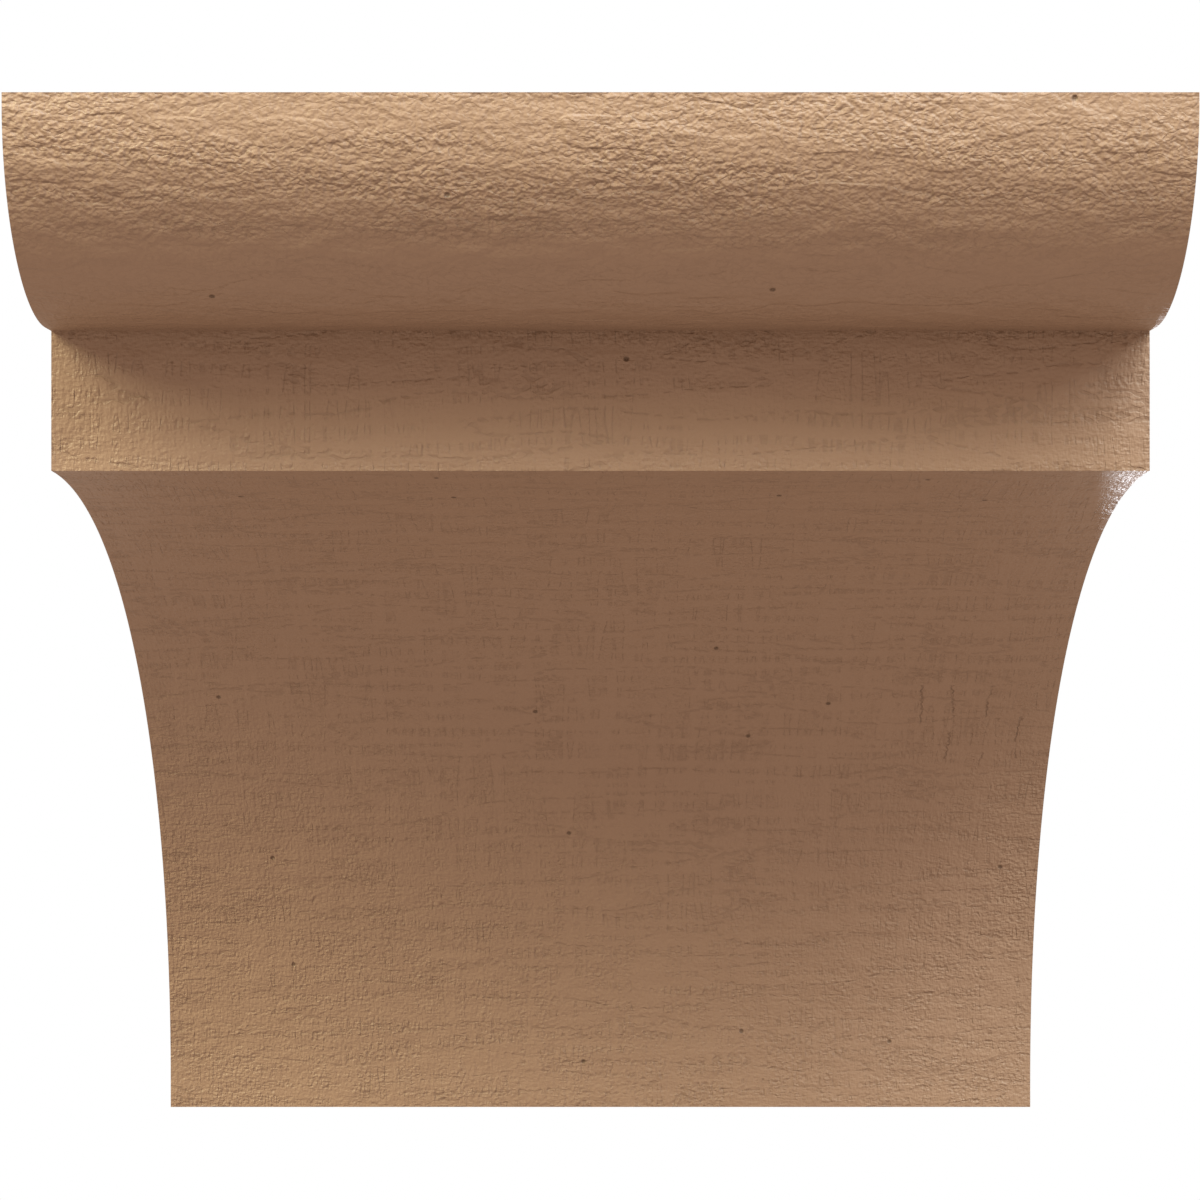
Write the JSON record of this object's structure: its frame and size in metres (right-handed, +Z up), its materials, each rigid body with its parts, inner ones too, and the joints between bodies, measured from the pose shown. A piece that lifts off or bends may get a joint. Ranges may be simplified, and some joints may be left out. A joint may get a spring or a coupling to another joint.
{
  "type": "corbel",
  "caption": "Square mantel corbel: a bold quarter-round roll over a flat fillet and a deep cove, with flat sides, top and back, moulded all over with rough-sawn grain.",
  "frame": {"origin": "centre of the flat back, on the plane of the wall", "axes": "+Z up, +Y into the wall, so the moulded front faces -Y; +X to the right seen from the front"},
  "size_m": [0.1524, 0.1524, 0.1524],
  "materials": {
    "tan_primer": "satin tan primer on a moulded rough-sawn relief"
  },
  "bodies": {
    "root": {"corbel": "tan_primer"}
  },
  "joints": []
}
